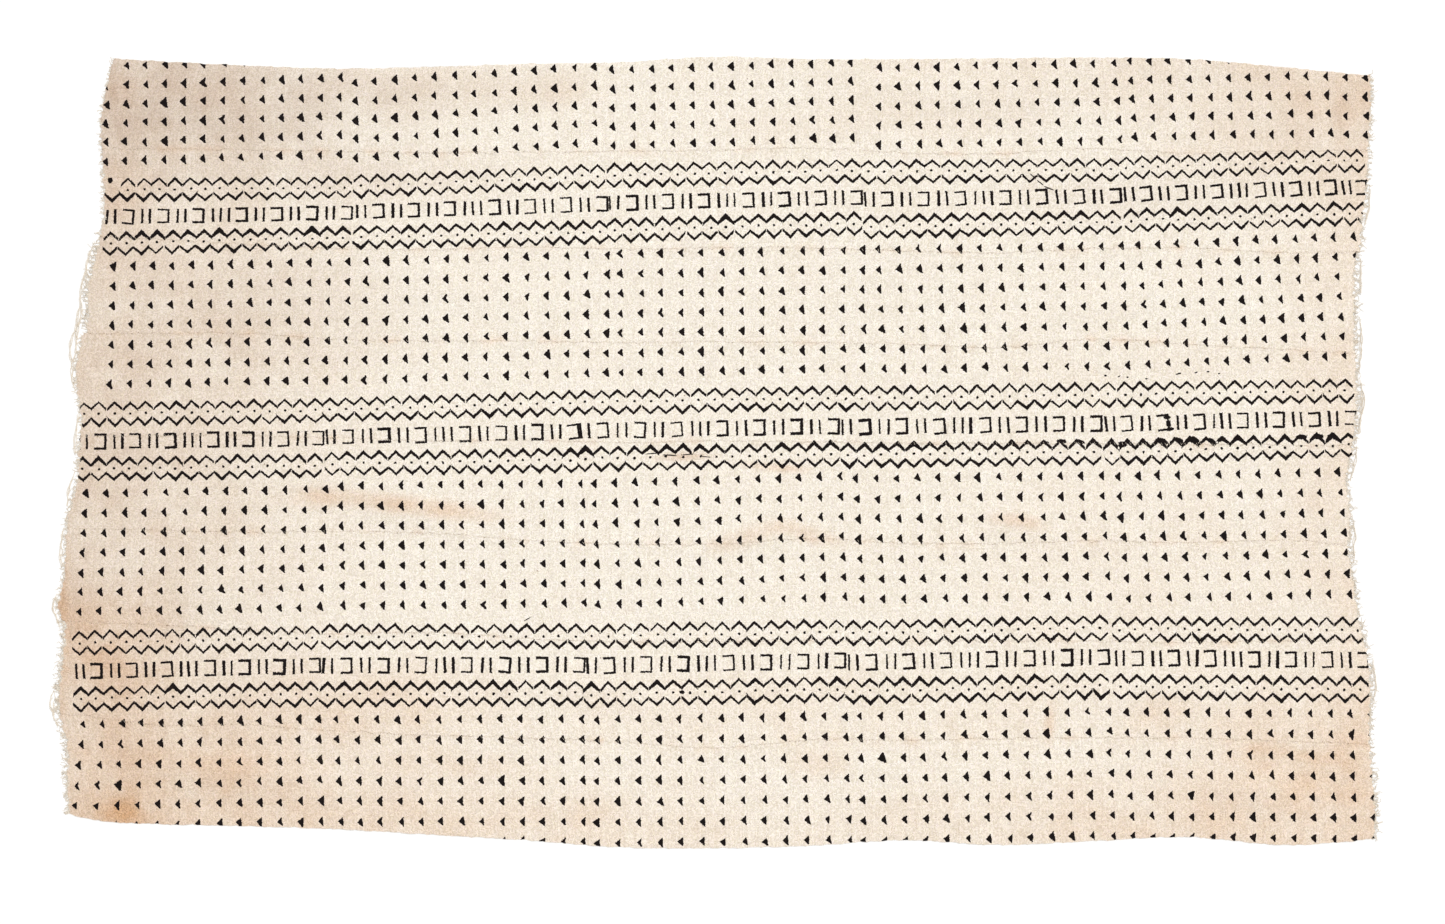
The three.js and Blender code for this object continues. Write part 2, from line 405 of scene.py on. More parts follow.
def end_reach(end: End, across: np.ndarray) -> np.ndarray:
    """How far the frayed end reaches along the cloth."""
    return smooth_line(ENDS["across"], ENDS[end.name.lower()], across)


def humps(rows: dict[str, np.ndarray], x: np.ndarray, y: np.ndarray, column: str) -> np.ndarray:
    """Adds up soft humps, each level at its rim.

    Args:
        rows: a table with along, across, long, wide and turn.
        x: places along the cloth.
        y: places across it.
        column: the column that holds each hump's height.

    Returns:
        The humps' height at each place.
    """
    total = np.zeros(np.shape(x))
    for along, across, long, wide, turn, height in zip(
        *(rows[c] for c in ("along", "across", "long", "wide", "turn")), rows[column]
    ):
        cos, sin = math.cos(math.radians(turn)), math.sin(math.radians(turn))
        dx, dy = x - along, y - across
        away = np.hypot((dx * cos + dy * sin) / long, (dy * cos - dx * sin) / wide)
        total += height * (0.5 + 0.5 * np.cos(math.pi * np.minimum(away, 1.0)))
    return total


def across_at(strip: StripRow, x: np.ndarray, v: np.ndarray) -> np.ndarray:
    """Where a strip's share v of its width lies across the cloth, at places x along it."""
    low = long_line(strip.lower, x) + SEAM_GAP / 2
    high = long_line(strip.upper, x) - SEAM_GAP / 2
    return low + (high - low) * v


def place_on(
    strip: StripRow, u: np.ndarray, v: np.ndarray, inset: tuple[float, float] | None = None
) -> tuple[np.ndarray, np.ndarray]:
    """Finds places on a strip, in the tables' own frame.

    Args:
        strip: the strip.
        u: 0 at its left end to 1 at its right.
        v: 0 at its lower edge to 1 at its upper.
        inset: how far the ends stay inside the frayed ends' reach, or the yarns' own length.

    Returns:
        The places along and across the cloth.
    """
    left, right = inset or (strip.left_yarn, strip.right_yarn)
    x = HALF_LENGTH * (2 * u - 1)
    y = np.zeros_like(x)
    for _ in range(4):
        y = across_at(strip, x, v)
        start, stop = end_reach(End.LEFT, y) + left, end_reach(End.RIGHT, y) - right
        x = start + (stop - start) * u
    return x, y


def slow_waves(places: np.ndarray, seed: int, longest: float, shortest: float) -> np.ndarray:
    """Makes an uneven run of waves, about -1 to 1.

    Args:
        places: where the waves are read, in millimetres.
        seed: picks the run.
        longest: the longest wave, in millimetres.
        shortest: the shortest one.

    Returns:
        The waves' height at places.
    """
    draw = np.random.default_rng(seed)
    count = 7
    lengths = np.geomspace(longest, shortest, count) * draw.uniform(0.85, 1.15, count)
    phases = draw.uniform(0, 2 * math.pi, count)
    waves = [np.sin(2 * math.pi * places / l + p) for l, p in zip(lengths, phases)]
    return np.sum(waves, axis=0) / math.sqrt(count)


def in_frame(x: np.ndarray, y: np.ndarray, height: np.ndarray) -> np.ndarray:
    """Turns places in the tables' frame and heights into points in metres, one to a row."""
    return np.stack((x - CENTRE[0], y - CENTRE[1], height), -1).reshape(-1, 3) * MM


def link_mesh(name: str, mesh: bpy.types.Mesh) -> bpy.types.Object:
    """Puts a mesh in the scene as an object at the origin."""
    made = bpy.data.objects.new(name, mesh)
    bpy.context.scene.collection.objects.link(made)
    return made


def linear(code: str) -> tuple[float, float, float, float]:
    """Turns an sRGB hex colour into a linear one with alpha."""
    parts = [int(code[k : k + 2], 16) / 255 for k in (1, 3, 5)]
    return tuple(c / 12.92 if c <= 0.04045 else ((c + 0.055) / 1.055) ** 2.4 for c in parts) + (1,)


def add_node(tree: bpy.types.NodeTree, kind: str, *values: object, **settings: object) -> bpy.types.Node:
    """Adds a node to a tree.

    Args:
        tree: the tree.
        kind: the node's type, or a math node's operation, with VECTOR_ before a vector's.
        values: for its inputs in order: a socket or node to link, a value, or None to leave it.
        settings: the node's properties, or inputs by name with spaces as underscores.

    Returns:
        The new node.
    """
    if "Node" not in kind:
        settings["operation"] = kind.removeprefix("VECTOR_")
        kind = "ShaderNodeVectorMath" if kind.startswith("VECTOR_") else "ShaderNodeMath"
    node = tree.nodes.new(kind)
    named = {}
    for name, value in settings.items():
        if name in node.bl_rna.properties:
            setattr(node, name, value)
        else:
            named[name.replace("_", " ")] = value
    inputs = [(node.inputs[k], value) for k, value in enumerate(values) if value is not None]
    for name, value in named.items():
        inputs.append((next(s for s in node.inputs if s.enabled and s.name == name), value))
    for socket, value in inputs:
        if isinstance(value, bpy.types.Node):
            value = next(s for s in value.outputs if s.enabled)
        if isinstance(value, bpy.types.NodeSocket):
            tree.links.new(value, socket)
        else:
            socket.default_value = value
    return node


def new_material(name: str) -> tuple[bpy.types.Material, AddNode]:
    """Makes a material with no nodes, and the function that adds nodes to it."""
    material = bpy.data.materials.new(name)
    material.use_nodes = True
    material.node_tree.nodes.clear()
    return material, partial(add_node, material.node_tree)


@dataclass(frozen=True)
class Mark:
    """One stencilled mark, with its own frame on the cloth.

    x and y are its place, turn its frame's turn in radians, wide and high the stretch of its frame,
    with high below 0 for one that is upside down, swell what its strokes are thicker by, and
    twist the depth of a wedge's notch or a dot's place along. second says that it is read from
    the print's second layer, which lets neighbours meet.
    """

    figure: Figure
    x: float
    y: float
    turn: float
    wide: float = 1.0
    high: float = 1.0
    swell: float = 0.0
    twist: float = 0.0
    second: bool = False

    def frame_of(self, x: np.ndarray, y: np.ndarray) -> tuple[np.ndarray, np.ndarray]:
        """Turns places on the cloth into the mark's own frame, in millimetres."""
        cos, sin = math.cos(self.turn), math.sin(self.turn)
        dx, dy = x - self.x, y - self.y
        return (dx * cos + dy * sin) / self.wide, (dy * cos - dx * sin) / self.high

    def room(self) -> tuple[float, float, float]:
        """Half the width, the foot and the head of the room that it needs in its frame."""
        if self.figure is Figure.BLOT:
            return 1 + 4 / self.wide, -1 - 4 / self.high, 1 + 4 / self.high
        return ROOM[self.figure]


class Print:
    """The black print: wedges in fields, and bands of zigzags, dots, bars and brackets.

    The first and third zigzags stand and have a dot under each chevron, and the others hang.
    """

    COLUMN_SPREAD = 0.035  # of the wedges' sizes, from column to column and from wedge to wedge
    WEDGE_SPREAD = 0.04
    HEAVY_SHARE = 0.045
    HEAVY_SWELL = 0.85
    NOTCHED_SHARE = 0.1
    ZIGZAG_DROPS = (3.6, 23.8, 73.6, 93.8)
    ZIGZAG_SWELLS = (0.0, 0.1, None, 0.15)  # the third's is the band's own

    def __init__(self, seed: int) -> None:
        self.draw = np.random.default_rng(seed)
        self.marks: list[Mark] = []

    def lay(self) -> list[Mark]:
        """Lays every block of the stencil, and returns the marks."""
        for row in zip(*FIELDS.values()):
            self.lay_field(*row)
        for row in zip(*BANDS.values()):
            self.lay_band(*row)
        stencilled = list(self.marks)
        for x, y, long, wide, turn in zip(*BLOTS.values()):
            under = min(stencilled, key=lambda mark: math.hypot(mark.x - x, mark.y - y))
            self.marks.append(
                Mark(Figure.BLOT, x, y, math.radians(turn), long, wide, second=not under.second)
            )
        return self.marks

    def lay_field(
        self,
        start: float,
        across: float,
        end: float,
        end_across: float,
        columns: int,
        pitch: float,
        step: float,
        end_step: float,
        above: int,
    ) -> None:
        """Lays one block of wedges, each cut a little differently, as a table's row gives it."""
        tilt = math.atan2(end_across - across, end - start)
        sizes = self.draw.normal(1.0, self.COLUMN_SPREAD, int(columns))
        for column in range(int(columns)):
            share = column / (columns - 1)
            lean = step + (end_step - step) * share**FAN
            for row in range(FIELD_ROWS):
                down = row - above
                size = sizes[column] * self.draw.normal(1.0, self.WEDGE_SPREAD)
                heavy = self.draw.random() < self.HEAVY_SHARE
                notched = self.draw.random() < self.NOTCHED_SHARE
                self.marks.append(
                    Mark(
                        Figure.WEDGE,
                        start + (end - start) * share + lean * down + self.draw.normal(0, 0.55),
                        across + (end_across - across) * share - pitch * down
                        + self.draw.normal(0, 0.45),
                        tilt + self.draw.normal(-0.01, 0.08),
                        size * self.draw.uniform(0.84, 1.08),
                        size * self.draw.uniform(0.9, 1.1),
                        self.HEAVY_SWELL if heavy else self.draw.uniform(0.1, 0.5),
                        self.draw.uniform(0.8, 1.7) if notched else self.draw.uniform(-0.4, 0.3),
                    )
                )

    def lay_band(
        self,
        start: float,
        peak: float,
        end_peak: float,
        middle: float,
        end_middle: float,
        stretch: float,
        share: float,
        lean: float,
        end_lean: float,
        bare: int,
        bold: float,
    ) -> None:
        """Lays one block of a band: two pairs of zigzags with bars and brackets between."""
        length = BAND_BLOCK * stretch * share
        tilt = math.atan2(end_middle - middle, length)

        def spot(chart: float, drop: float) -> tuple[float, float, float, float]:
            """A point of the block's chart: its place, stretch across the cloth and lean."""
            along = chart * stretch
            t = along / length
            top = peak + (end_peak - peak) * t
            high = (top - middle - (end_middle - middle) * t) / BAND_DROP
            slant = lean + (end_lean - lean) * t
            return start + along + slant * (drop - BAND_DROP), top - drop * high, high, slant

        for k in range(round(BAND_BLOCK * share / CHEVRON_PITCH)):
            chart = FIRST_CHEVRON + CHEVRON_PITCH * k
            for row, (drop, swell) in enumerate(zip(self.ZIGZAG_DROPS, self.ZIGZAG_SWELLS)):
                if row == 0 and k < bare:
                    continue
                swell = bold if swell is None else swell
                hanging = row % 2 == 1
                x, y, high, _ = spot(chart + self.draw.normal(0, 0.35), drop)
                figure = Figure.CHEVRON if hanging else Figure.CHEVRON_WITH_DOT
                thick = max(self.draw.normal(swell, 0.16 + 0.3 * swell), -0.3)
                self.marks.append(
                    Mark(
                        figure,
                        x,
                        y + self.draw.normal(0, 0.35),
                        tilt + self.draw.normal(0, 0.035),
                        stretch * self.draw.uniform(0.95, 1.04),
                        high * self.draw.uniform(0.9, 1.08) * (-1 if hanging else 1),
                        thick,
                        self.draw.normal(0, 0.5),
                        k % 2 == 1,
                    )
                )
        chart, before = 0.0, ""
        for k, sign in enumerate(BAND_FIGURES):
            chart += FIGURE_GAP.get(before + sign, 0.0)
            before = sign
            if chart > BAND_BLOCK * share:
                break
            x, y, high, slant = spot(chart, BAND_DROP)
            self.marks.append(
                Mark(
                    Figure.BAR if sign == "|" else Figure.BRACKET,
                    x + self.draw.normal(0, 0.3),
                    y + self.draw.normal(0, 0.3),
                    slant + self.draw.normal(0.01, 0.03),
                    1.0,
                    high * self.draw.uniform(0.95, 1.05),
                    max(self.draw.normal(0.0, 0.22), -0.35),
                    0.0,
                    k % 2 == 1,
                )
            )


class StripSheet:
    """One hand-woven strip as a thin closed sheet, with the print's frames on its faces."""

    GROOVE = 0.12  # how far the seam draws the upper side down
    GROOVE_REACH = 1.6
    RIM = 0.6  # how much thinner the raw edges are
    RIM_REACH = 2.5
    PUCKER = 0.45
    PUCKER_REACH = 9.0
    PUCKER_WAVES = (46.0, 11.0)  # the longest and the shortest gathers along a seam
    EDGE_WAVES = (90.0, 24.0)  # and along the cloth's own long edges
    RAGGED_END = 1.5
    RAGGED_WAVES = (26.0, 7.0)
    RAGGED_REACH = 12.0
    OUTER_WAVE = 0.55
    OUTER_WAVES = (60.0, 7.0)
    OUTER_REACH = 14.0
    MOST_STAIN = 1.2
    WEAR_REACH = 2.4  # how far the seam's own tone reaches
    SHARP = 50.0  # degrees from which an edge shows as one

    def __init__(self, strip: StripRow, marks: list[Mark]) -> None:
        self.strip = strip
        self.marks = marks
        self.stations = round(2 * HALF_LENGTH / CELL)
        self.rows = round(STRIP_WIDTH / CELL)

    def points(self) -> tuple[np.ndarray, np.ndarray, np.ndarray, np.ndarray]:
        """Works out the sheet's grid.

        Returns:
            Its upper points and lower points in metres, the tone of each and its weave places.
        """
        strip = self.strip
        u, v = np.meshgrid(
            np.linspace(0, 1, self.stations + 1), np.linspace(0, 1, self.rows + 1), indexing="ij"
        )
        x, y = place_on(strip, u, v)
        length = HALF_LENGTH * 2
        from_left, from_right = u * length, (1 - u) * length
        ragged = slow_waves(y, 7 * strip.number, *self.RAGGED_WAVES) * self.RAGGED_END
        near_end = np.exp(-from_left / self.RAGGED_REACH) - np.exp(-from_right / self.RAGGED_REACH)
        x = x + ragged * near_end
        y = across_at(strip, x, v)
        from_lower, from_upper = y - long_line(strip.lower, x), long_line(strip.upper, x) - y
        rim = np.exp(-from_left / self.RIM_REACH) + np.exp(-from_right / self.RIM_REACH)
        outer = None
        if strip.upper == "top":
            outer = from_upper
        elif strip.lower == "bottom":
            outer = from_lower
        if outer is not None:
            wave = slow_waves(x, 31 + strip.number, *self.OUTER_WAVES) * self.OUTER_WAVE
            y = y + wave * np.exp(-outer / self.OUTER_REACH)
            rim = np.maximum(rim, np.exp(-outer / self.RIM_REACH))
        under = humps(RIPPLES, x, y, "lift")
        seam = np.full(x.shape, np.inf)
        for name, away in ((strip.lower, from_lower), (strip.upper, from_upper)):
            if name in ("top", "bottom"):
                lift = 0.5 * self.PUCKER * (1 + slow_waves(x, 5, *self.EDGE_WAVES))
            else:
                seam = np.minimum(seam, away)
                lift = self.pucker(x, int(name[-1]))
            under += lift * np.exp(-away / self.PUCKER_REACH)
        groove = self.GROOVE * np.exp(-((seam / self.GROOVE_REACH) ** 2)) + self.RIM * rim
        upper = in_frame(x, y, under + CLOTH_THICKNESS - groove)
        lower = in_frame(x, y, np.maximum(under, 0))
        tan, grey = (np.clip(humps(STAINS, x, y, c), 0, self.MOST_STAIN) for c in ("tan", "grey"))
        tone = np.stack((tan, grey, np.exp(-seam / self.WEAR_REACH)), -1).reshape(-1, 3)
        weave = np.stack((u * length, v * STRIP_WIDTH), -1).reshape(-1, 2)
        return upper, lower, tone, weave

    @classmethod
    def pucker(cls, x: np.ndarray, number: int) -> np.ndarray:
        """How far the sewing of a seam lifts the cloth along it."""
        return cls.PUCKER * np.maximum(1 + slow_waves(x, number * 11, *cls.PUCKER_WAVES), 0)

    def faces(self) -> tuple[np.ndarray, int]:
        """Works out the faces of the closed sheet.

        Returns:
            All faces, the upper side's first and then the lower side's, and how many a side has.
        """
        wide = self.rows + 1
        layer = (self.stations + 1) * wide
        grid = np.arange(layer).reshape(self.stations + 1, wide)
        a, b, c, d = grid[:-1, :-1], grid[1:, :-1], grid[1:, 1:], grid[:-1, 1:]
        upper = np.stack((a, b, c, d), -1).reshape(-1, 4)
        lower = np.stack((a, d, c, b), -1).reshape(-1, 4) + layer
        rim = np.concatenate((grid[:, 0], grid[-1, 1:], grid[-2::-1, -1], grid[0, -2:0:-1]))
        after = np.roll(rim, -1)
        wall = np.stack((rim + layer, after + layer, after, rim), -1)
        return np.concatenate((upper, lower, wall)), len(upper)

    def choose_marks(self, x: np.ndarray, y: np.ndarray, second: bool) -> tuple[np.ndarray, list[Mark]]:
        """Gives each face of a side the mark that it lies in.

        Args:
            x: the faces' middles along the cloth, in the tables' frame.
            y: and across it.
            second: which of the print's two layers is read.

        Returns:
            The number of each face's mark, or -1, and the marks.
        """
        chosen = np.full(x.shape, -1)
        nearest = np.full(x.shape, 1.0)
        near = (y.min() - 20, y.max() + 20)
        marks = [m for m in self.marks if m.second == second and near[0] < m.y < near[1]]
        for k, mark in enumerate(marks):
            half, foot, head = mark.room()
            span = 1.3 * max(half * mark.wide, max(-foot, head) * abs(mark.high))
            close = np.nonzero((abs(x - mark.x) < span) & (abs(y - mark.y) < span))[0]
            along, up = mark.frame_of(x[close], y[close])
            away = np.maximum(abs(along) / half, np.where(up > 0, up / head, up / foot))
            better = away < nearest[close]
            chosen[close[better]] = k
            nearest[close[better]] = away[better]
        return chosen, marks

    def build(self, front: bpy.types.Material, back: bpy.types.Material) -> bpy.types.Object:
        """Builds the strip.

        Args:
            front: the printed side's material.
            back: the other side's.

        Returns:
            The strip's object.
        """
        upper, lower, tone, weave = self.points()
        faces, side = self.faces()
        mesh = bpy.data.meshes.new(self.strip.node + "_cloth")
        mesh.from_pydata(np.concatenate((upper, lower)).tolist(), [], faces.tolist())
        mesh.materials.append(front)
        mesh.materials.append(back)
        slots = np.zeros(len(faces), np.int32)
        slots[side : 2 * side] = 1
        mesh.polygons.foreach_set("material_index", slots)
        mesh.polygons.foreach_set("use_smooth", np.arange(len(faces)) < 2 * side)
        mesh.attributes.new("tone", "FLOAT_VECTOR", "POINT").data.foreach_set(
            "vector", np.concatenate((tone, tone)).ravel()
        )
        corners = faces.ravel()
        flat = np.concatenate((upper, lower))[:, :2] / MM + CENTRE
        weave_map = mesh.uv_layers.new(name="weave")
        weave_map.data.foreach_set("uv", np.concatenate((weave, weave))[corners].ravel())
        middles = flat[faces[:side]].mean(axis=1)
        for layer, second in (("first", False), ("second", True)):
            chosen, marks = self.choose_marks(middles[:, 0], middles[:, 1], second)
            self.write_layer(mesh, layer, faces, flat, side, chosen, marks)
        mesh.uv_layers.active = weave_map
        mesh.validate()
        mesh.set_sharp_from_angle(angle=math.radians(self.SHARP))
        return link_mesh(mesh.name, mesh)

    @staticmethod
    def write_layer(
        mesh: bpy.types.Mesh,
        layer: str,
        faces: np.ndarray,
        flat: np.ndarray,
        side: int,
        chosen: np.ndarray,
        marks: list[Mark],
    ) -> None:
        """Writes one layer of the print: each face's mark, and its corners in that mark's frame.

        Args:
            mesh: the strip's mesh.
            layer: the layer's name.
            faces: all faces.
            flat: the points' places on the cloth.
            side: how many faces a side has.
            chosen: the number of each face's mark on a side, or -1.
            marks: the marks.
        """
        rows = [(0.0, 0.0, 0.0, 1.0, 1.0, Figure.NONE.value, 0.0, 0.0)]
        rows += [(m.x, m.y, m.turn, m.wide, m.high, m.figure.value, m.swell, m.twist) for m in marks]
        values = np.array(rows)
        wall = np.zeros(len(faces) - 2 * side, int)
        of_face = np.concatenate((chosen + 1, chosen + 1, wall))
        mesh.attributes.new(layer + "_mark", "FLOAT_VECTOR", "FACE").data.foreach_set(
            "vector", values[of_face, 5:].ravel()
        )
        x, y, turn, wide, high = values[np.repeat(of_face, 4), :5].T
        dx, dy = (flat[faces.ravel()] - np.stack((x, y), -1)).T
        along = (dx * np.cos(turn) + dy * np.sin(turn)) / wide
        up = (dy * np.cos(turn) - dx * np.sin(turn)) / high
        frames = mesh.uv_layers.new(name=layer + "_frame")
        frames.data.foreach_set("uv", np.stack((along, up), -1).ravel())

    def flat_size(self) -> tuple[float, float]:
        """The strip's mean width and length, in metres."""
        ends = np.linspace(0, 1, 25)
        x, y = place_on(self.strip, ends[:, None], np.array([[0.0, 1.0]]))
        length = float((x[-1] - x[0]).mean())
        return float((y[:, 1] - y[:, 0]).mean()) * MM, length * MM


class Stencil:
    """The node group that gives how far a point lies outside its mark's edge, in millimetres.

    Each mark is drawn in its own frame, about its middle. The group has the inputs Frame and Mark
    and the output Outside.
    """

    WEDGE_HALF = 3.6  # half its height at its middle, and how soon it widens to the right
    WEDGE_WIDENS = 0.88
    WEDGE_RIGHT = 2.5
    WEDGE_HEAD = 5.3
    WEDGE_SOFT = (1.4, 1.2, 0.8)  # how round its point, its right corners and its head are
    PEAK = 4.3  # of a chevron, and how soon its strokes fall
    FALL = 0.9
    REACH = 9.7
    STROKE = 1.35
    DOT_DROP = 9.8
    DOT_RADIUS = 1.5
    BAR = (1.42, 9.3)  # half sizes
    POST = (1.45, 9.6)
    POST_PLACE = 6.4
    ARM = (1.3, 7.0)
    ARM_PLACE = (8.6, -0.5)  # up and down, and along
    BLOT_EDGE = 2.5  # its frame is stretched, so its edge is drawn wider

    def __init__(self) -> None:
        self.tree = bpy.data.node_groups.new("stencilled_mark", "ShaderNodeTree")
        sockets = self.tree.interface
        sockets.new_socket("Frame", in_out="INPUT", socket_type="NodeSocketVector")
        sockets.new_socket("Mark", in_out="INPUT", socket_type="NodeSocketVector")
        sockets.new_socket("Outside", in_out="OUTPUT", socket_type="NodeSocketFloat")
        self.add = partial(add_node, self.tree)
        given = self.add("NodeGroupInput")
        self.frame = given.outputs["Frame"]
        self.x, self.y, _ = self.add(SEPARATE, self.frame).outputs
        self.kind, self.swell, self.twist = self.add(SEPARATE, given.outputs["Mark"]).outputs
        self.from_middle = self.add("ABSOLUTE", self.x)
        self.from_axis = self.add("ABSOLUTE", self.y)

    def build(self) -> bpy.types.NodeTree:
        """Builds the group: the shape of each figure, and the choice between them."""
        chevron = self.chevron()
        shapes = {
            Figure.WEDGE: self.wedge(),
            Figure.CHEVRON: chevron,
            Figure.CHEVRON_WITH_DOT: self.with_dot(chevron),
            Figure.BAR: self.box(self.from_middle, self.from_axis, self.BAR),
            Figure.BRACKET: self.bracket(),
            Figure.BLOT: self.blot(),
        }
        outside = FAR_OUTSIDE
        for figure, distance in shapes.items():
            same = self.add("COMPARE", self.kind, figure.value, 0.5)
            outside = self.add(MIX, same, A=outside, B=distance)
        self.add("NodeGroupOutput", self.add("SUBTRACT", outside, self.swell))
        return self.tree

    def box(self, across: Value, along: Value, half: tuple[float, float]) -> bpy.types.Node:
        """How far outside a box a point lies, from how far it is from the box's middle."""
        past = [self.add("SUBTRACT", p, h) for p, h in zip((across, along), half)]
        return self.add("MAXIMUM", *past)

    def away(self, value: Value, place: Value) -> bpy.types.Node:
        """How far a value is from a place, to either side."""
        off = self.add("SUBTRACT", value, place)
        return self.add("ABSOLUTE", off)

    def wedge(self) -> bpy.types.Node:
        """A wedge that points left, its right side nearly upright and now and then notched."""
        add, y = self.add, self.y
        mirrored = add("MULTIPLY", y, -1.0)
        from_ridge = add("SMOOTH_MAX", y, mirrored, self.WEDGE_SOFT[0])
        half = add("MULTIPLY_ADD", self.x, self.WEDGE_WIDENS, self.WEDGE_HALF)
        flank = add("SUBTRACT", from_ridge, half)
        flank = add("MULTIPLY", flank, 0.75)
        notch = add("MULTIPLY_ADD", self.from_axis, -0.28, 1.0, use_clamp=True)
        heel = add("MULTIPLY_ADD", notch, self.twist, self.x)
        heel = add("MULTIPLY_ADD", y, 0.08, heel)
        heel = add("SUBTRACT", heel, self.WEDGE_RIGHT)
        head = add("SUBTRACT", self.from_axis, self.WEDGE_HEAD)
        wedge = add("SMOOTH_MAX", flank, heel, self.WEDGE_SOFT[1])
        return add("SMOOTH_MAX", wedge, head, self.WEDGE_SOFT[2])

    def chevron(self) -> bpy.types.Node:
        """Two slanting strokes that meet in a peak, where a bold one swells the most."""
        add = self.add
        ridge = add("MULTIPLY_ADD", self.from_middle, -self.FALL, self.PEAK)
        stroke = add("MULTIPLY_ADD", self.away(self.y, ridge), 0.74, -self.STROKE)
        slack = add("MULTIPLY_ADD", self.from_middle, 0.12, -0.45)
        stroke = add("MULTIPLY_ADD", slack, self.swell, stroke)
        tail = add("SUBTRACT", self.from_middle, self.REACH)
        return add("MAXIMUM", stroke, tail)

    def with_dot(self, chevron: bpy.types.Node) -> bpy.types.Node:
        """A chevron with a dot under it, which is the same size under a bold one."""
        add = self.add
        place = add(COMBINE, add("SUBTRACT", self.x, self.twist), self.y)
        dot = add("VECTOR_DISTANCE", place, (0.0, -self.DOT_DROP, 0.0))
        dot = add("SUBTRACT", dot.outputs["Value"], self.DOT_RADIUS)
        dot = add("MULTIPLY_ADD", self.swell, 0.9, dot)
        return add("MINIMUM", chevron, dot)

    def bracket(self) -> bpy.types.Node:
        """An upright on the right, with an arm to the left at its head and its foot."""
        post = self.box(self.away(self.x, self.POST_PLACE), self.from_axis, self.POST)
        above, beside = self.ARM_PLACE
        arm = self.box(self.away(self.from_axis, above), self.away(self.x, beside), self.ARM)
        return self.add("MINIMUM", post, arm)

    def blot(self) -> bpy.types.Node:
        """A round patch in a stretched frame."""
        away = self.add("VECTOR_LENGTH", self.frame).outputs["Value"]
        return self.add("MULTIPLY_ADD", away, self.BLOT_EDGE, -self.BLOT_EDGE)


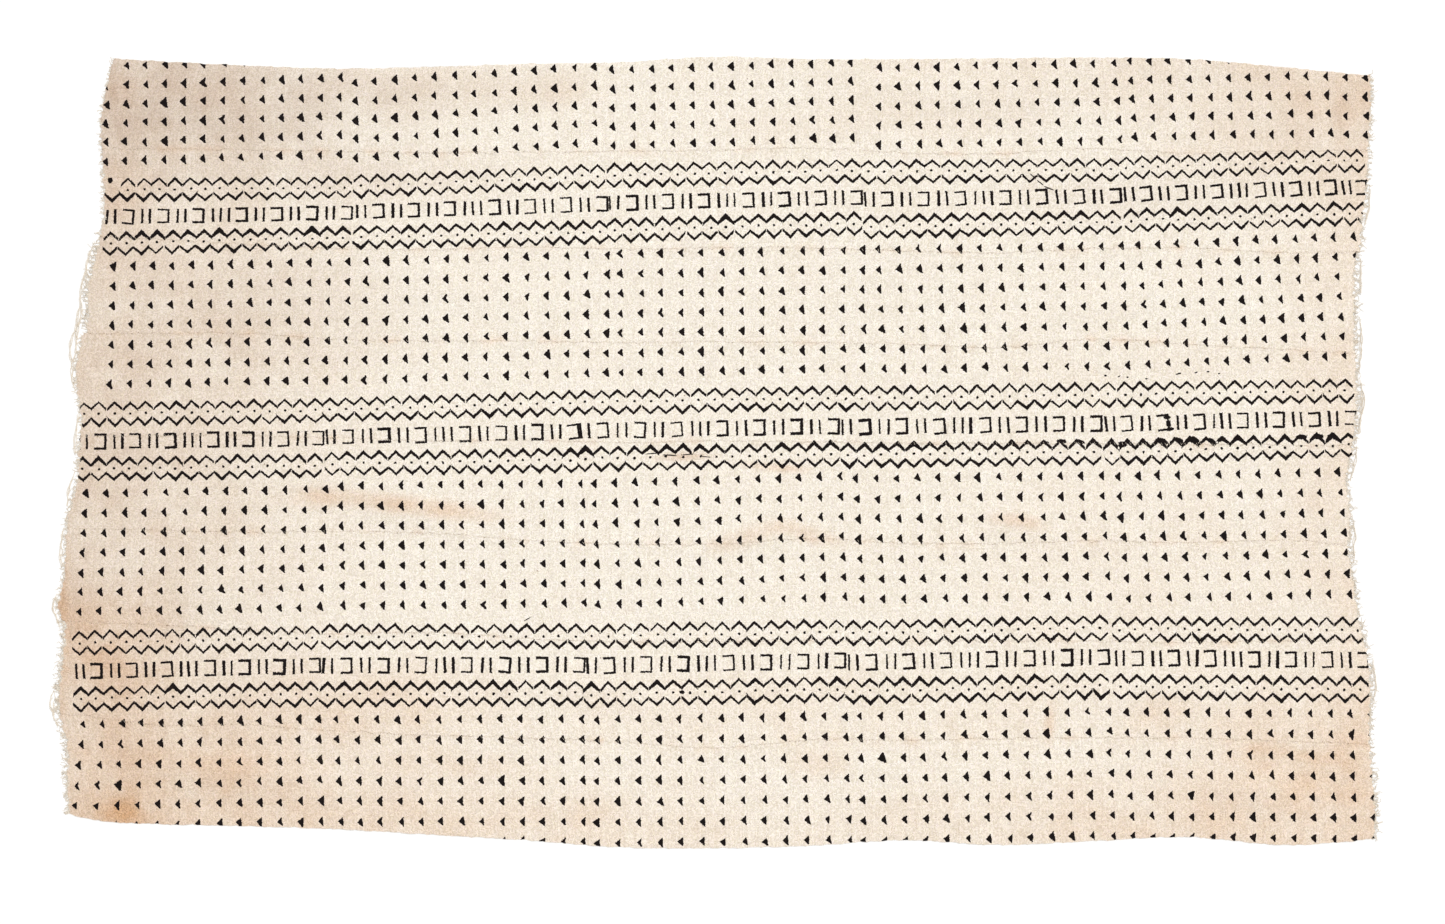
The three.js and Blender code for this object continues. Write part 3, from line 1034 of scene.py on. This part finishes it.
@dataclass(frozen=True)
class PrintedCotton:
    """Hand-spun, hand-woven plain cotton, unbleached, aged and stencilled with black mud dye.

    It gives the eye a warm off-white ground with a fine uneven thread grain, painted shade towards the
    edges of each thread crossing, soft tan stains, and black marks whose edges step along the threads.
    crossing is the threads' real pitch in millimetres. Single threads are too fine for the picture, so
    the ribs that show are drawn as runs of two or three threads. ink is how black the marks are: 1 on
    the printed side, and a faint ghost on the other.
    """

    name: str
    ink: float
    ground: str = "#F4EDE0"
    tan: str = "#DEAD7E"
    grey: str = "#BCA28E"
    fleck: str = "#7E6049"
    dye: str = "#120D0E"
    thin_dye: str = "#3A2A26"
    crossing: float = 1.4
    wander: tuple[float, float, float] = (1.6, 1.6, 0.0)  # how far the threads wander
    weft: tuple[float, float, float] = (1.2, 3.4, 0.0)  # how soon a thread on top falls each way
    warp_over: tuple[float, float, float] = (3.4, 1.2, 0.0)
    rib: tuple[float, float, float] = (0.42, 0.03, 1.0)  # ribs for each millimetre each way
    warp: tuple[float, float, float] = (0.02, 0.6, 1.0)
    least_tint: tuple[float, float, float] = (0.97, 0.98, 0.945)  # each thread has its own tint
    tint_reach: tuple[float, float, float] = (0.06, 0.04, 0.11)
    shade_reach: tuple[float, float, float] = (0.78, 1.02, 1.24)  # a thread in shade is warmer
    shade_rest: tuple[float, float, float] = (0.22, -0.02, -0.24)
    # The crown's share of the shade is painted shade, darker towards each thread crossing's edges; the
    # thread's and the ribs' shares are the threads' own uneven tone.
    shade_of: tuple[float, float, float, float] = (0.31, 0.22, 0.28, 0.505)  # thread, crown, ribs, rest
    height_of: tuple[float, float] = (0.3, 0.45)  # thread and crown, against the ribs
    clouds: float = 14.0  # waves for each metre, as those below: the stains' unevenness
    smudges: float = 30.0
    strays: float = 70.0
    gaps: float = 520.0
    thinness: float = 260.0
    bleeding: float = 420.0
    seed_flecks: float = 75.0
    stray_reach: float = 4.5  # how far the seam's line strays to each side
    line_share: float = 0.07  # of it that shows even where no dirt lies
    bleed_reach: float = 1.2  # how far dye runs at a mark's edge, along the cloth and by thread
    thread_reach: float = 0.6
    roughness: float = 0.93

    def build(self, group: bpy.types.NodeTree) -> bpy.types.Material:
        """Builds the material, with group to draw the marks."""
        material, add = new_material(self.name)
        mapped = add("ShaderNodeUVMap", uv_map="weave")
        here = add("ShaderNodeTexCoord").outputs["Object"]
        wander = add(NOISE, mapped, Scale=0.07, Detail=2.0)
        wander = add("VECTOR_MULTIPLY_ADD", wander.outputs["Color"], self.wander, mapped)
        cell = add("VECTOR_SNAP", wander, (self.crossing, self.crossing, 1.0))
        thread = add("ShaderNodeTexWhiteNoise", cell, noise_dimensions="2D")
        crown = self.crown(add, wander)
        ribs = self.ribs(add, mapped)
        ground = self.ground_colour(add, here, mapped, thread, ribs, crown)
        inked = self.ink_share(add, group, here, thread)
        density = add(NOISE, here, Scale=self.thinness, Detail=3.0)
        thin = add(RANGE, density, From_Min=0.55, From_Max=0.75, To_Max=0.45)
        dye = add(MIX, thin, A=linear(self.dye), B=linear(self.thin_dye), data_type="RGBA")
        colour = add(MIX, inked, A=ground, B=dye, data_type="RGBA")
        height = add("MULTIPLY_ADD", thread, self.height_of[0], ribs)
        height = add("MULTIPLY_ADD", crown, self.height_of[1], height)
        bump = add("ShaderNodeBump", Strength=0.6, Distance=0.0009, Height=height)
        shader = add(
            "ShaderNodeBsdfPrincipled",
            Base_Color=colour,
            Roughness=self.roughness,
            Specular_IOR_Level=0.06,
            Sheen_Weight=0.02,
            Normal=bump,
        )
        add("ShaderNodeOutputMaterial", shader)
        return material

    def crown(self, add: AddNode, mapped: bpy.types.Node) -> bpy.types.Node:
        """How high the thread on top stands: each crossing is a low pillow, long along its thread. It
        gives the bump its height, and the ground's colour takes it as painted shade towards each
        crossing's edges.
        """
        share = add("VECTOR_SCALE", mapped, Scale=1 / self.crossing)
        place = add("VECTOR_FRACTION", share)
        place = add("VECTOR_ADD", place, (-0.5, -0.5, 0.0))
        square = add("VECTOR_MULTIPLY", place, place)
        over = add("ShaderNodeTexChecker", mapped, Scale=1 / self.crossing)
        steep = add(MIX, over.outputs["Fac"], A=self.weft, B=self.warp_over, data_type="VECTOR")
        dip = add("VECTOR_DOT_PRODUCT", square, steep)
        return add("SUBTRACT", 1.0, dip.outputs["Value"])

    def ribs(self, add: AddNode, mapped: bpy.types.Node) -> bpy.types.Node:
        """The threads that stand out: runs across the strip and fainter ones along it."""
        runs = []
        for scale in (self.rib, self.warp):
            drawn = add("VECTOR_MULTIPLY", mapped, scale)
            runs.append(add(NOISE, drawn, Scale=1.0, Detail=2.0))
        return add("MULTIPLY_ADD", runs[1], 0.45, runs[0])

    def ground_colour(
        self,
        add: AddNode,
        here: bpy.types.NodeSocket,
        mapped: bpy.types.Node,
        thread: bpy.types.Node,
        ribs: bpy.types.Node,
        crown: bpy.types.Node,
    ) -> bpy.types.Node:
        """The unprinted cloth's colour: stains, worn seams, threads with painted shade towards each
        crossing's edges, and seed flecks.
        """
        tone = add("ShaderNodeAttribute", attribute_name="tone")
        tan, grey, seam = add(SEPARATE, tone.outputs["Vector"]).outputs
        cloud = add(NOISE, here, Scale=self.clouds, Detail=6.0, Roughness=0.65)
        wear = add(RANGE, cloud, From_Min=0.3, From_Max=0.7, To_Min=0.45, To_Max=1.1)
        stain = add("MULTIPLY", tan, wear)
        mottle = add("MULTIPLY_ADD", wear, 0.09, stain)
        colour = add(MIX, mottle, A=linear(self.ground), B=linear(self.tan), data_type="RGBA")
        # Grey as the tone's second part gives it, heaviest over the left half and at the top-left
        # corner.
        greying = add("MULTIPLY", grey, wear)
        colour = add(MIX, greying, A=colour, B=linear(self.grey), data_type="RGBA")

        # The seams: a soft smudge that comes and goes, and a broken line that strays to both sides.
        near = add("POWER", seam, 0.55)
        smudge = add(NOISE, here, Scale=self.smudges, Detail=3.0)
        smudge = add(RANGE, smudge, From_Min=0.5, From_Max=0.75, To_Max=0.35)
        smudge = add("MULTIPLY", smudge, near)
        colour = add(MIX, smudge, A=colour, B=linear(self.tan), data_type="RGBA")
        stray = add(NOISE, here, Scale=self.strays, Detail=2.0)
        stray = add("MULTIPLY_ADD", stray, 2 * self.stray_reach, -self.stray_reach)
        across = add(SEPARATE, mapped).outputs[1]
        off = add("WRAP", across, STRIP_WIDTH / 2, -STRIP_WIDTH / 2)
        off = add("ABSOLUTE", add("SUBTRACT", off, stray))
        line = add(RANGE, off, From_Min=1.0, From_Max=0.3, To_Max=1.3)
        line = add("MULTIPLY", line, add("GREATER_THAN", seam, 0.2))
        worn = add("MULTIPLY_ADD", stain, 1.3, line)
        gap = add(NOISE, here, Scale=self.gaps, Detail=2.0)
        gap = add(RANGE, gap, From_Min=0.52, From_Max=0.64, To_Max=0.38)
        gap = add("MULTIPLY", gap, worn)
        gap = add("MULTIPLY_ADD", line, self.line_share, gap)
        colour = add(MIX, gap, A=colour, B=linear(self.fleck), data_type="RGBA")

        # The threads' tone: each crossing's own random tone and the ribs, with painted shade from the
        # crown, darker towards each crossing's edges.
        by_thread, by_painted_crevice_shade, by_ribs, shade = self.shade_of
        for part, share in ((thread, by_thread), (crown, by_painted_crevice_shade), (ribs, by_ribs)):
            shade = add("MULTIPLY_ADD", part, share, shade)
        shade = add("VECTOR_MULTIPLY_ADD", shade, self.shade_reach, self.shade_rest)
        colour = add("VECTOR_MULTIPLY", colour, shade)
        tint = add("VECTOR_MULTIPLY_ADD", thread.outputs["Color"], self.tint_reach, self.least_tint)
        colour = add("VECTOR_MULTIPLY", colour, tint)
        seeds = add("ShaderNodeTexVoronoi", here, Scale=self.seed_flecks)
        chance = add("ShaderNodeSeparateColor", seeds.outputs["Color"])
        size = add(RANGE, chance, From_Min=0.86, From_Max=1.0, To_Max=0.075)
        seed = add("LESS_THAN", seeds.outputs["Distance"], size)
        seed = add("MULTIPLY", seed, 0.7)
        return add(MIX, seed, A=colour, B=linear(self.fleck), data_type="RGBA")

    def ink_share(
        self, add: AddNode, group: bpy.types.NodeTree, here: bpy.types.NodeSocket, thread: bpy.types.Node
    ) -> bpy.types.Node:
        """How much dye lies at each point: each thread takes the edge of a mark differently."""
        layers = []
        for layer in ("first", "second"):
            place = add("ShaderNodeUVMap", uv_map=layer + "_frame")
            mark = add("ShaderNodeAttribute", attribute_name=layer + "_mark")
            layers.append(
                add("ShaderNodeGroup", node_tree=group, Frame=place, Mark=mark.outputs["Vector"])
            )
        edge = add("MINIMUM", *layers)
        bleed = add(NOISE, here, Scale=self.bleeding, Detail=2.0)
        bleed = add("MULTIPLY_ADD", bleed, self.bleed_reach, edge)
        ragged = add("MULTIPLY_ADD", thread, self.thread_reach, bleed)
        return add(
            RANGE,
            ragged,
            From_Min=1.3,
            From_Max=0.9,
            To_Max=0.995 * self.ink,
            interpolation_type="SMOOTHSTEP",
        )


@dataclass(frozen=True)
class CottonYarn:
    """Loose hand-spun cotton yarn: matt, soft and a little uneven in colour along its twist."""

    name: str
    pale: str
    dark: str
    patches: float = 160.0  # waves for each metre, as the next
    twists: float = 1500.0
    twist_depth: float = 0.0003  # metres
    roughness: float = 0.95

    def build(self) -> bpy.types.Material:
        """Builds the material."""
        material, add = new_material(self.name)
        here = add("ShaderNodeTexCoord").outputs["Object"]
        uneven = add(NOISE, here, Scale=self.patches, Detail=3.0)
        colour = add(MIX, uneven, A=linear(self.dark), B=linear(self.pale), data_type="RGBA")
        twist = add(NOISE, here, Scale=self.twists, Detail=1.0)
        bump = add("ShaderNodeBump", Strength=0.5, Distance=self.twist_depth, Height=twist)
        shader = add(
            "ShaderNodeBsdfPrincipled",
            Base_Color=colour,
            Roughness=self.roughness,
            Specular_IOR_Level=0.2,
            Normal=bump,
        )
        add("ShaderNodeOutputMaterial", shader)
        return material


class NodeTool:
    """A Geometry Nodes tree with named inputs, whose result becomes a plain mesh."""

    def __init__(self, name: str, inputs: dict[str, tuple[str, float]]) -> None:
        self.tree = bpy.data.node_groups.new(name, "GeometryNodeTree")
        sockets = self.tree.interface
        sockets.new_socket("Geometry", in_out="INPUT", socket_type="NodeSocketGeometry")
        for label, (kind, value) in inputs.items():
            made = sockets.new_socket(label, in_out="INPUT", socket_type=kind)
            made.default_value = value
        sockets.new_socket("Material", in_out="INPUT", socket_type="NodeSocketMaterial")
        sockets.new_socket("Geometry", in_out="OUTPUT", socket_type="NodeSocketGeometry")
        self.add = partial(add_node, self.tree)
        self.given = self.add("NodeGroupInput")

    def finish(self, shape: bpy.types.Node) -> None:
        """Ends the tree: instances made real, and the material set."""
        real = self.add("GeometryNodeRealizeInstances", shape)
        material = self.given.outputs["Material"]
        self.add("NodeGroupOutput", self.add("GeometryNodeSetMaterial", real, Material=material))

    def run(self, name: str, path: np.ndarray, **values: object) -> bpy.types.Object:
        """Runs the tree along a path.

        Args:
            name: the new piece's name.
            path: the path's points, in metres.
            values: the inputs' values, with spaces as underscores.

        Returns:
            The new piece, with a plain mesh and no modifier.
        """
        line = bpy.data.meshes.new(name + "_path")
        steps = [(k, k + 1) for k in range(len(path) - 1)]
        line.from_pydata(path.tolist(), steps, [])
        made = link_mesh(name, line)
        modifier = made.modifiers.new("shape", "NODES")
        modifier.node_group = self.tree
        for item in self.tree.interface.items_tree:
            key = item.name.replace(" ", "_")
            if item.in_out == "INPUT" and key in values:
                modifier[item.identifier] = values[key]
        drawn = made.evaluated_get(bpy.context.evaluated_depsgraph_get())
        mesh = bpy.data.meshes.new_from_object(drawn)
        made.modifiers.remove(modifier)
        made.data = mesh
        mesh.name = name
        bpy.data.meshes.remove(line)
        return made


class SeamStitches:
    """Whip stitches that join two strips, one row of slanting stitches on each seam."""

    SPACING = 5.0
    LENGTH = 3.4
    THREAD = 0.17
    SLANT = 0.5  # in radians, as SWAY
    SWAY = 0.3
    SUNK = 0.1  # how deep the stitches' ends lie in the cloth
    CROWN = 2.6  # how far the middle's control point stands out, in thread radii
    SEWN = (0.0015, 0.9985)  # where a seam starts and stops, as shares of the strip
    POINTS = 420

    def __init__(self) -> None:
        number = "NodeSocketFloat"
        self.tool = NodeTool(
            "whip_stitches",
            {
                "Spacing": (number, self.SPACING * MM),
                "Length": (number, self.LENGTH * MM),
                "Thread": (number, self.THREAD * MM),
                "Slant": (number, self.SLANT),
                "Seed": ("NodeSocketInt", 0),
            },
        )
        add, given = self.tool.add, self.tool.given.outputs
        curve = add("GeometryNodeMeshToCurve", self.tool.given)
        spaced = add("GeometryNodeResampleCurve", curve, mode="LENGTH", Length=given["Spacing"])
        half = add("MULTIPLY", given["Length"], 0.5)
        back = add("MULTIPLY", half, -1.0)
        start = add(COMBINE, 0.0, back, 0.0)
        end = add(COMBINE, 0.0, half, 0.0)
        crown = add("MULTIPLY", given["Thread"], self.CROWN)
        crown = add(COMBINE, 0.0, 0.0, crown)
        arc = add("GeometryNodeCurveQuadraticBezier", 4, start, crown, end)
        round_thread = add("GeometryNodeCurvePrimitiveCircle", Resolution=5, Radius=given["Thread"])
        stitch = add("GeometryNodeCurveToMesh", arc, round_thread, Fill_Caps=True)
        tangent = add("GeometryNodeInputTangent")
        along = add("FunctionNodeAlignRotationToVector", Vector=tangent, axis="X")
        sway = add(
            "FunctionNodeRandomValue",
            data_type="FLOAT",
            Min=-self.SWAY,
            Max=self.SWAY,
            Seed=given["Seed"],
        )
        lean = add("ADD", sway, given["Slant"])
        turned = add(COMBINE, 0.0, 0.0, lean)
        angle = add("FunctionNodeRotateRotation", along, turned, rotation_space="LOCAL")
        placed = add("GeometryNodeInstanceOnPoints", spaced, Instance=stitch, Rotation=angle)
        self.tool.finish(placed)

    def sew(self, number: int, thread: bpy.types.Material) -> bpy.types.Object:
        """Sews one seam from end to end."""
        below = next(s for s in STRIPS if s.upper == f"seam{number}")
        u = np.linspace(*self.SEWN, self.POINTS)
        x, _ = place_on(below, u, np.ones_like(u))
        y = long_line(f"seam{number}", x)
        height = humps(RIPPLES, x, y, "lift") + StripSheet.pucker(x, number)
        height += CLOTH_THICKNESS - StripSheet.GROOVE - self.SUNK
        path = in_frame(x, y, height)
        return self.tool.run(f"stitches_{number}", path, Seed=number, Material=thread)


class FrayedEnds:
    """The loose yarns at a strip's end: short, curled and lying down to the surface."""

    YARN = 0.5
    CLOSEST = 0.7  # between two yarns at their roots
    ROOTED = 3.0  # how far the yarns start inside the cloth
    SWAY = 1.1  # in radians, to both sides
    LENGTHS = (0.4, 1.2)  # the shortest and the longest yarn, as shares
    CURL = (2.1, 2.1, 0.25)  # how far a yarn strays each way, for each metre of its length
    CURLS = 300.0  # waves for each metre
    TAPER = 0.55
    EASE = 0.6  # a power: a yarn falls fast at first, then lies
    LEVEL = 0.55 * CLOTH_THICKNESS  # of the roots
    SPREAD = (0.012, 0.988)  # of the roots over the strip's width, as shares
    FAR = 9.0  # past all of the cloth, in metres

    def __init__(self) -> None:
        number = "NodeSocketFloat"
        self.tool = NodeTool(
            "frayed_yarns",
            {
                "Yarns": ("NodeSocketInt", 60),
                "Length": (number, 8 * MM),
                "Thickness": (number, self.YARN * MM),
                "Heading": (number, 0.0),
                "Fall": (number, 1.0 * MM),
                "Seed": ("NodeSocketInt", 0),
            },
        )
        add, given = self.tool.add, self.tool.given.outputs
        curve = add("GeometryNodeMeshToCurve", self.tool.given)
        roots = add("GeometryNodeResampleCurve", curve, mode="COUNT", Count=given["Yarns"])
        straight = add("GeometryNodeCurvePrimitiveLine", (0, 0, 0), (1, 0, 0))
        yarn = add("GeometryNodeResampleCurve", straight, mode="COUNT", Count=8)
        draws = []
        for low, high, offset in ((-self.SWAY, self.SWAY, 0), (*self.LENGTHS, 7)):
            seed = add("ADD", given["Seed"], offset)
            draws.append(add("FunctionNodeRandomValue", data_type="FLOAT", Min=low, Max=high, Seed=seed))
        sway, stretch = draws
        heading = add("ADD", sway, given["Heading"])
        angle = add(COMBINE, 0.0, 0.0, heading)
        size = add("MULTIPLY", stretch, given["Length"])
        placed = add("GeometryNodeInstanceOnPoints", roots, Instance=yarn, Rotation=angle, Scale=size)
        real = add("GeometryNodeRealizeInstances", placed)
        along = add("GeometryNodeSplineParameter")
        share = along.outputs["Factor"]
        where = add("GeometryNodeInputPosition")
        curl = add(NOISE, where, Scale=self.CURLS, Detail=1.0)
        centred = add("VECTOR_ADD", curl.outputs["Color"], (-0.5, -0.5, -0.5))
        flat = add("VECTOR_MULTIPLY", centred, self.CURL)
        reach = add("MULTIPLY", share, given["Length"])
        wander = add("VECTOR_SCALE", flat, Scale=reach)
        eased = add("POWER", share, self.EASE)
        drop = add("MULTIPLY", eased, given["Fall"])
        drop = add("MULTIPLY", drop, -1.0)
        fall = add(COMBINE, 0.0, 0.0, drop)
        moved = add("VECTOR_ADD", wander, fall)
        curled = add("GeometryNodeSetPosition", real, Offset=moved)
        lowest = add(COMBINE, -self.FAR, -self.FAR, given["Thickness"])
        place = add("GeometryNodeInputPosition")
        lying = add("VECTOR_MAXIMUM", place, lowest)
        curled = add("GeometryNodeSetPosition", curled, Position=lying)
        taper = add("MULTIPLY_ADD", share, -self.TAPER, 1.0)
        radius = add("MULTIPLY", taper, given["Thickness"])
        thinned = add("GeometryNodeSetCurveRadius", curled, Radius=radius)
        profile = add("GeometryNodeCurvePrimitiveCircle", Resolution=4, Radius=1.0)
        solid = add("GeometryNodeCurveToMesh", thinned, profile, Scale=radius, Fill_Caps=True)
        self.tool.finish(solid)

    def fray(self, strip: StripRow, end: End, yarn: bpy.types.Material) -> bpy.types.Object:
        """Frays one end of a strip."""
        u = 0.0 if end is End.LEFT else 1.0
        length = strip.left_yarn if end is End.LEFT else strip.right_yarn
        v = np.linspace(*self.SPREAD, 60)
        rooted = length + self.ROOTED
        x, y = place_on(strip, np.full_like(v, u), v, (rooted, rooted))
        height = np.full_like(x, self.LEVEL)
        path = in_frame(x, y, height)
        width = abs(y[-1] - y[0])
        return self.tool.run(
            f"yarns_{end.name.lower()}_{strip.number}",
            path,
            Yarns=round(width / self.CLOSEST),
            Length=(rooted + 0.5) * MM,
            Heading=0.0 if end is End.RIGHT else math.pi,
            Fall=(self.LEVEL - self.YARN) * MM,
            Seed=strip.number + 20 * (end is End.LEFT),
            Material=yarn,
        )


class StrayThreads:
    """Threads that have worked loose at the ends, and lie along them in slow waves."""

    RADIUS = 0.38
    STEP = 5.0  # between two points of a thread
    STRANDS = 3  # that wander side by side in a run
    WAVES = (48.0, 13.0)  # lengths
    SWING = 1.3
    # Which end, where a thread starts and stops across the cloth, and how far out it lies.
    RUNS = table(
        "side start stop out",
        (-1, 262, 214, 0.5),
        (-1, 228, 168, 1.5),
        (-1, 196, 132, 6.0),
        (-1, 180, 120, 3.0),
        (-1, 170, 106, 9.0),
        (-1, 128, 74, 1.0),
        (-1, 52, -8, 1.5),
        (-1, -24, -72, 3.0),
        (-1, -96, -150, 1.0),
        (-1, -180, -226, 1.5),
        (-1, -304, -338, 3.5),
        (-1, -318, -352, 1.0),
        (1, 338, 284, 1.0),
        (1, 246, 196, 0.5),
        (1, 172, 104, 1.0),
        (1, 92, 34, 3.0),
        (1, 78, 18, 0.5),
        (1, 8, -40, 1.5),
        (1, -88, -140, 1.0),
        (1, -262, -318, 0.5),
    )

    def build(self, yarn: bpy.types.Material) -> bpy.types.Object:
        """Builds all the threads as one piece."""
        data = bpy.data.curves.new("stray_threads", "CURVE")
        data.dimensions = "3D"
        data.bevel_depth = self.RADIUS * MM
        data.bevel_resolution = 1
        data.resolution_u = 3
        data.use_fill_caps = True
        for k, (side, start, stop, out) in enumerate(zip(*self.RUNS.values())):
            for strand in range(self.STRANDS):
                y = np.arange(start - 4 * strand, stop + 3 * strand, -self.STEP)
                waves = self.SWING * slow_waves(y, 50 + k * self.STRANDS + strand, *self.WAVES)
                bow = np.sin(np.linspace(0.25, math.pi - 0.25, len(y)))
                x = end_reach(End(side), y) + side * ((out + strand) * bow + waves)
                height = self.RADIUS * (1 + strand) + 0.05
                spline = data.splines.new("NURBS")
                spline.points.add(len(y) - 1)
                spline.use_endpoint_u = True
                spline.order_u = 4
                for point, along, across in zip(spline.points, x, y):
                    place = (along - CENTRE[0], across - CENTRE[1], height)
                    point.co = (*(c * MM for c in place), 1.0)
        data.materials.append(yarn)
        curve = bpy.data.objects.new("stray_threads", data)
        bpy.context.scene.collection.objects.link(curve)
        drawn = curve.evaluated_get(bpy.context.evaluated_depsgraph_get())
        mesh = bpy.data.meshes.new_from_object(drawn)
        bpy.data.objects.remove(curve)
        return link_mesh("stray_threads", mesh)


@dataclass(frozen=True)
class Studio:
    """A pale floor, soft light from above and the camera straight over the cloth."""

    picture: tuple[int, int] = (1445, 924)
    mm_a_pixel: float = 1.27
    looks_at: tuple[float, float] = (8.2, -12.1)
    lens: float = 85.0
    sensor: float = 36.0
    sees: float = 50.0  # metres
    floor_size: float = 40.0
    floor_colour: str = "#FBFBFB"
    floor_roughness: float = 0.9
    fill: float = 0.74
    key: float = 1.4
    key_softness: float = 45.0  # degrees across
    key_turn: tuple[float, float, float] = (-26.0, 24.0, 0.0)

    def build(self) -> None:
        """Builds the floor, lights and camera."""
        scene = bpy.context.scene
        scene.view_settings.view_transform = "Standard"
        floor = bpy.data.meshes.new("floor")
        half = self.floor_size / 2
        corners = [(-half, -half, 0), (half, -half, 0), (half, half, 0), (-half, half, 0)]
        floor.from_pydata(corners, [], [(0, 1, 2, 3)])
        matt, add = new_material("floor_paper")
        shader = add(
            "ShaderNodeBsdfPrincipled",
            Base_Color=linear(self.floor_colour),
            Roughness=self.floor_roughness,
            Specular_IOR_Level=0.1,
        )
        add("ShaderNodeOutputMaterial", shader)
        floor.materials.append(matt)
        link_mesh("floor", floor)
        soft = bpy.data.lights.new("key_light", "SUN")
        soft.energy = self.key
        soft.angle = math.radians(self.key_softness)
        lamp = bpy.data.objects.new("key_light", soft)
        lamp.rotation_euler = [math.radians(a) for a in self.key_turn]
        scene.collection.objects.link(lamp)
        world = bpy.data.worlds.new("studio_air")
        world.use_nodes = True
        sky = world.node_tree.nodes["Background"]
        sky.inputs["Color"].default_value = (1, 1, 1, 1)
        sky.inputs["Strength"].default_value = self.fill
        scene.world = world
        camera = bpy.data.cameras.new("camera")
        camera.lens = self.lens
        camera.sensor_width = self.sensor
        camera.clip_end = self.sees
        seen = bpy.data.objects.new("camera", camera)
        wide = self.picture[0] * self.mm_a_pixel
        height = self.lens / self.sensor * wide + CLOTH_THICKNESS
        seen.location = (self.looks_at[0] * MM, self.looks_at[1] * MM, height * MM)
        scene.collection.objects.link(seen)
        scene.camera = seen


def declare(piece: bpy.types.Object, slot: str, *nodes: str) -> bpy.types.Object:
    """Says what a piece rides on and which solids it stands for."""
    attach(piece, BODY)
    if nodes:
        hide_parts(*nodes)
    LOG.info("%s: %d faces", piece.name, len(piece.data.polygons))
    return piece


def main() -> None:
    """Builds the cloth piece by piece, then the studio around it."""
    Studio().build()
    group = Stencil().build()
    front = PrintedCotton("stencilled_hand_woven_cotton", 1.0).build(group)
    back = PrintedCotton("hand_woven_cotton_back", 0.2).build(group)
    loose = CottonYarn("loose_cotton_yarn", "#F6F0E6", "#DCCBB2").build()
    sewing = CottonYarn("cotton_sewing_thread", "#F2E9DB", "#D9C8B0").build()
    marks = Print(seed=5466).lay()
    LOG.info("the print has %d marks", len(marks))
    ends = FrayedEnds()
    for strip in STRIPS:
        sheet = StripSheet(strip, marks)
        cloth = declare(sheet.build(front, back), "printed_cotton", strip.node)
        for end in End:
            fringe = f"fringe_{end.name.lower()}_{strip.number}"
            declare(ends.fray(strip, end, loose), "loose_yarn", fringe)
        sheet.flat_size()
    stitches = SeamStitches()
    for number in range(1, len(STRIPS)):
        declare(stitches.sew(number, sewing), "loose_yarn")
    declare(StrayThreads().build(loose), "loose_yarn")


if __name__ == "__main__":
    logging.basicConfig(level=logging.INFO, format="%(name)s: %(message)s")
    main()
